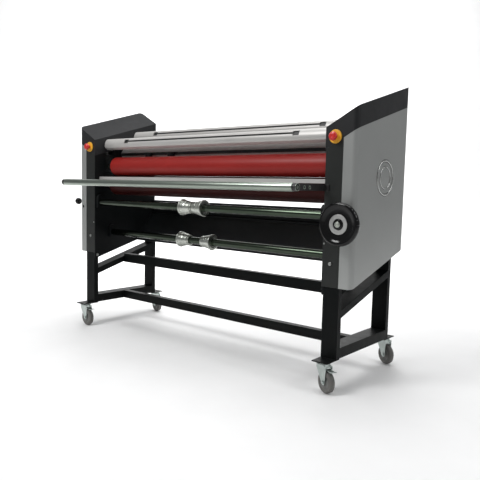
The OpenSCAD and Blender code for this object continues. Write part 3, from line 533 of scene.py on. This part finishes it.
eased("front_arms", dark_insert, 0.0015)
arm_z = 0.892
pin_end = 0.001
arm_rings = (("boss_rim", -0.483, 0.0146, 0.0168),
             ("front_screw", -0.432, 0.0050, 0.0085),
             ("rear_screw", -0.392, 0.0050, 0.0085))
bar_low, bar_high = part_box("front_bar")
for side, outward, arm_face in (("left", -1.0, bar_low[0] + pin_end),
                                ("right", 1.0, bar_high[0] - pin_end)):
    for part, ring_y, inner_r, outer_r in arm_rings:
        ring = rounded([(-0.0005, inner_r), (0.0012, inner_r), (0.0016, (inner_r + outer_r) / 2),
                        (0.0012, outer_r), (-0.0005, outer_r)], 0.001, 4)
        turned_piece("arm_" + part + "_" + side, ring, (arm_face, ring_y + depth_shift, arm_z),
                     (outward, 0, 0), ground_steel, "front_arms", 48)
eased("shaft_saddles", inner_black, 0.0012)

# ---------------------------------------------------------------- film core chucks
# Turned aluminium cones with a flange, two grip grooves and a plain lock collar, clamped on the supply
# shafts. Those on the left point to the right and those on the right to the left, into a film core's ends.
chuck_alloy = surface("chuck_alloy", (0.44, 0.46, 0.42), (0.58, 0.60, 0.55), (0.22, 0.36), metallic=1.0,
                      patch=20.0, grain=600.0, stretch=(1.0, 0.1, 0.1), relief=0.12)
chuck_bore = 0.02006
cone = rounded([(0.0, chuck_bore), (0.0, 0.041), (0.002, 0.044), (0.008, 0.044), (0.011, 0.041),
                (0.011, 0.0385), (0.024, 0.0385), (0.0245, 0.0372), (0.0275, 0.0372), (0.028, 0.0378),
                (0.042, 0.0352), (0.0425, 0.0340), (0.0455, 0.0340), (0.046, 0.0345), (0.066, 0.0310),
                (0.072, 0.0310), (0.072, 0.0270), (0.080, 0.0270), (0.080, chuck_bore)], 0.0012, 4)
for node in ("chuck_upper_left", "chuck_upper_right", "chuck_lower_left", "chuck_lower_right"):
    low, high, middle = box_of(node)
    flange_x, inward = (low[0], 1.0) if node.endswith("left") else (high[0], -1.0)
    middle[0] = flange_x
    turned_piece(node + "_cone", cone, middle, (inward, 0, 0), chuck_alloy, node, replaced=(node,))

# ---------------------------------------------------------------- handwheel and brake knob
# Glossy moulded handwheel with a rolled rim, a matt silver ring round its hub and a bright centre screw. A
# small black knob of the same plastic brakes the upper supply shaft.
gloss_black = surface("gloss_black_plastic", (0.0030, 0.0030, 0.0033), (0.0045, 0.0045, 0.0048), (0.09, 0.16),
                      specular=0.30, patch=20.0, grain=500.0, relief=0.05)
matt_silver = surface("matt_silver_ring", (0.40, 0.40, 0.39), (0.47, 0.47, 0.46), (0.35, 0.5), metallic=0.6,
                      patch=30.0, grain=600.0, relief=0.1)
hub = box_of("handwheel")[2]
hub[1] = -0.328 + depth_shift
rim = 0.093
outline = rounded([(-0.0275, 0.0081), (-0.0275, 0.0195), (-0.010, 0.0225), (-0.003, 0.030),
                   (-0.003, rim - 0.027), (-0.012, rim - 0.020), (-0.0155, rim - 0.009),
                   (-0.0125, rim - 0.002), (-0.004, rim), (0.004, rim), (0.0108, rim - 0.003),
                   (0.0138, rim - 0.009), (0.0118, rim - 0.018), (0.0070, rim - 0.027), (0.0060, 0.047),
                   (0.0060, 0.024), (0.0120, 0.022), (0.0135, 0.0150), (0.0135, 0.0081)], 0.006, 6)


def notches(row, angle):
    """Twenty-four notches in the rim: where cos 24 t is over 0.92, the outermost rows are 0.010 smaller."""
    return np.where(outline[row, 1] > rim - 0.004, 1.0 - 0.010 * (np.cos(24 * angle) > 0.92), 1.0)


ring = rounded([(0.0055, 0.0245), (0.0085, 0.0245), (0.0090, 0.0258), (0.0090, 0.0412), (0.0085, 0.0425),
                (0.0055, 0.0425)], 0.001, 4)
cap = rounded([(0.0120, 0.0), (0.0120, 0.0130), (0.0165, 0.0125), (0.0180, 0.0105), (0.0180, 0.0045),
               (0.0150, 0.0040), (0.0150, 0.0)], 0.0012, 4)
to_front = (0, -1, 0)
turned_piece("handwheel_rim", outline, hub, to_front, gloss_black, "handwheel", 288, notches, ("handwheel",))
turned_piece("handwheel_ring", ring, hub, to_front, matt_silver, "handwheel", 144)
turned_piece("handwheel_centre", cap, hub, to_front, chuck_alloy, "handwheel")

low, high, middle = box_of("brake_knob")
middle[0] = low[0]
stem_end = high[0] - low[0]
knob = rounded([(0.0, 0.0), (0.0, 0.012), (0.003, 0.018), (0.009, 0.021), (0.019, 0.021), (0.025, 0.018),
                (0.028, 0.012), (0.029, 0.005), (stem_end, 0.005), (stem_end, 0.0)], 0.004, 6)
turned_piece("brake_knob_grip", knob, middle, (1, 0, 0), gloss_black, "brake_knob", replaced=("brake_knob",))

# ---------------------------------------------------------------- bearing blocks and nip lift
# Blackened steel blocks carry the rollers, and the upper ones slide in the slots of the side plates. The
# lifting screws, riser, cross shaft and handwheel shaft are turned steel with cut bevel wheels, and the
# frame's cap screws are of the same bright steel.
block_steel = surface("block_steel", (0.30, 0.31, 0.30), (0.42, 0.43, 0.42), (0.25, 0.4), metallic=0.9,
                      patch=12.0, grain=500.0, relief=0.12)
blackened_steel = surface("blackened_steel", (0.010, 0.011, 0.011), (0.020, 0.021, 0.021), (0.30, 0.42),
                          metallic=0.6, patch=12.0, grain=500.0, relief=0.12)
for node in ("upper_bearing_blocks", "lower_bearing_blocks"):
    eased(node, blackened_steel, 0.0008)
for node in ("lift_screw_left", "lift_screw_right", "cross_shaft", "riser_shaft", "handwheel_shaft"):
    eased(node, block_steel, 0.0005)
eased("frame_bolts", block_steel, 0.0010, 3)

# ---------------------------------------------------------------- drive, controls and inlet
# Enamelled gear motor, oiled chain and its motor sprocket in the left housing; zinc-plated control box in the
# right one, with a moulded appliance inlet in the back of the cover.
motor_enamel = surface("motor_enamel", (0.055, 0.060, 0.066), (0.075, 0.080, 0.086), (0.35, 0.5), patch=10.0,
                       grain=600.0, relief=0.2)
oiled_steel = surface("oiled_steel", (0.10, 0.098, 0.092), (0.16, 0.155, 0.148), (0.22, 0.4), metallic=0.9,
                      patch=25.0, grain=500.0, relief=0.15)
eased("gear_motor", motor_enamel, 0.0015, 3)
for node in ("motor_sprocket", "drive_chain"):
    eased(node, oiled_steel, 0.0005)
eased("control_box", zinc, 0.0010)
eased("power_inlet", dark_insert, 0.0008)

# ---------------------------------------------------------------- slitter heads
# Two moulded black heads that slide in the rail above the upper roller and hold a blade each. They are
# clamped where the film is to be trimmed.
for node in ("slitter_left", "slitter_right"):
    eased(node, dark_insert, 0.0015, 3)
